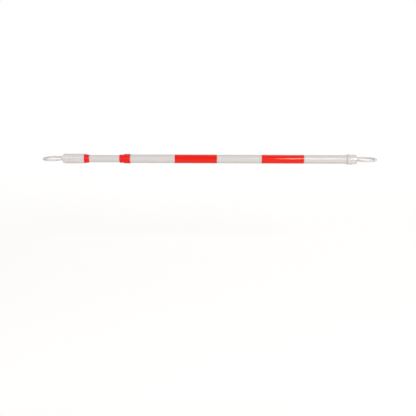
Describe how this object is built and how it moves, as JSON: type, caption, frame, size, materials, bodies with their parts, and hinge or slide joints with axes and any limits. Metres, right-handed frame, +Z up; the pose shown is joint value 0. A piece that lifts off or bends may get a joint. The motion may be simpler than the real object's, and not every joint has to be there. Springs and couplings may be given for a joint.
{
  "type": "cone bar",
  "caption": "Telescopic striped barrier bar with a flat ring at each end that drops over a post, a twist lock for its length and a ring end that turns.",
  "frame": {"origin": "centre of the fixed ring's bore, on the bar's axis", "axes": "+X along the bar, from the turning ring to the fixed ring; +Z up, along the rings' bores; +Y to the rear"},
  "size_m": [1.5405, 0.104, 0.0484],
  "materials": {
    "milky_plastic": "milky moulded polyethylene, satin",
    "white_tube": "extruded white plastic, glossy",
    "red_sheet": "smooth red reflective sheet",
    "red_plastic": "moulded red plastic, semi-gloss",
    "inner_plastic": "natural moulded acetal",
    "steel": "zinc-plated steel"
  },
  "bodies": {
    "main_tube": {"outer_tube": "white_tube", "red_band_ring_side": "red_sheet", "red_band_lock_side": "red_sheet", "lock_ferrule": "inner_plastic", "fixed_ring": "milky_plastic", "socket_screws": "steel"},
    "inner_pole": {"inner_tube": "white_tube", "guide_bush": "inner_plastic", "bush_rivets": "steel", "guide_plug": "inner_plastic", "ring_end_plug": "inner_plastic"},
    "turning_ring_end": {"turning_ring": "milky_plastic", "ring_bush": "inner_plastic"},
    "ring_grip": {"ring_grip_ring": "inner_plastic"},
    "ring_collar_nut": {"ring_collar": "red_plastic"},
    "lock_grip": {"lock_grip_ring": "inner_plastic"},
    "lock_nut_body": {"lock_nut": "red_plastic"}
  },
  "joints": [
    {"name": "extend", "type": "slide", "parent": "main_tube", "child": "inner_pole", "axis": [-1, 0, 0], "range_m": [-0.1265, 0.5535]},
    {"name": "ring_turn", "type": "hinge", "parent": "inner_pole", "child": "turning_ring_end", "pos_m": [-1.4365, 0, 0], "axis": [1, 0, 0], "continuous": true},
    {"name": "lock_shift", "type": "slide", "parent": "main_tube", "child": "lock_grip", "axis": [-1, 0, 0], "range_m": [0, 0.002]},
    {"name": "lock_twist", "type": "hinge", "parent": "lock_grip", "child": "lock_nut_body", "pos_m": [-1.1095, 0, 0], "axis": [-1, 0, 0], "range_deg": [0, 180]},
    {"name": "collar_shift", "type": "slide", "parent": "turning_ring_end", "child": "ring_grip", "axis": [1, 0, 0], "range_m": [0, 0.002]},
    {"name": "collar_twist", "type": "hinge", "parent": "ring_grip", "child": "ring_collar_nut", "pos_m": [-1.293, 0, 0], "axis": [1, 0, 0], "range_deg": [0, 180]}
  ],
  "couplings": [
    {"joint": "lock_shift", "follows": "lock_twist", "m_per_rad": 0.0006366},
    {"joint": "collar_shift", "follows": "collar_twist", "m_per_rad": 0.0006366}
  ]
}
